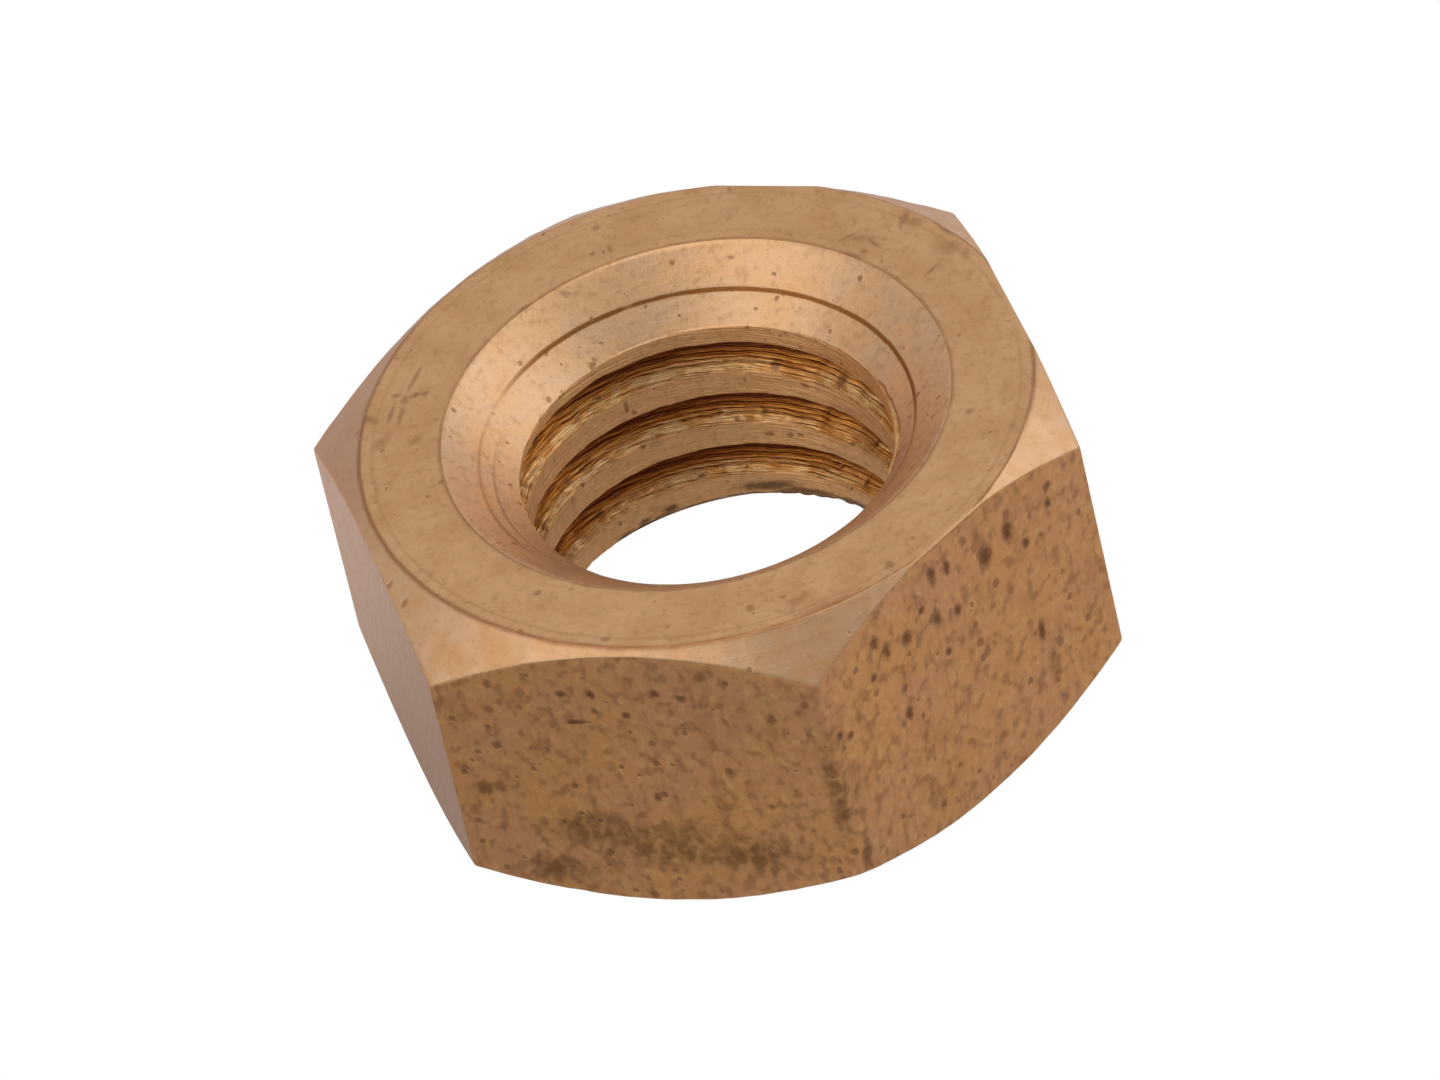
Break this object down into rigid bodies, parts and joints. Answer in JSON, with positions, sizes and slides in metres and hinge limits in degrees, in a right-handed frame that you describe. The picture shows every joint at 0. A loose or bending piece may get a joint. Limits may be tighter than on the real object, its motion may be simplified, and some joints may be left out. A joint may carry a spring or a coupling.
{
  "type": "hex nut",
  "caption": "Metric hexagon nut in bronze, chamfered corners on each end and a countersunk right-hand threaded bore.",
  "frame": {"origin": "on the thread's axis, halfway between the two bearing faces", "axes": "+Z along the thread's axis; one pair of flats faces +X and -X"},
  "size_m": [0.008, 0.0092, 0.004],
  "materials": {
    "bronze": "turned end faces and chamfers, drawn and lightly pitted flats"
  },
  "bodies": {
    "root": {"nut": "bronze"}
  },
  "joints": []
}
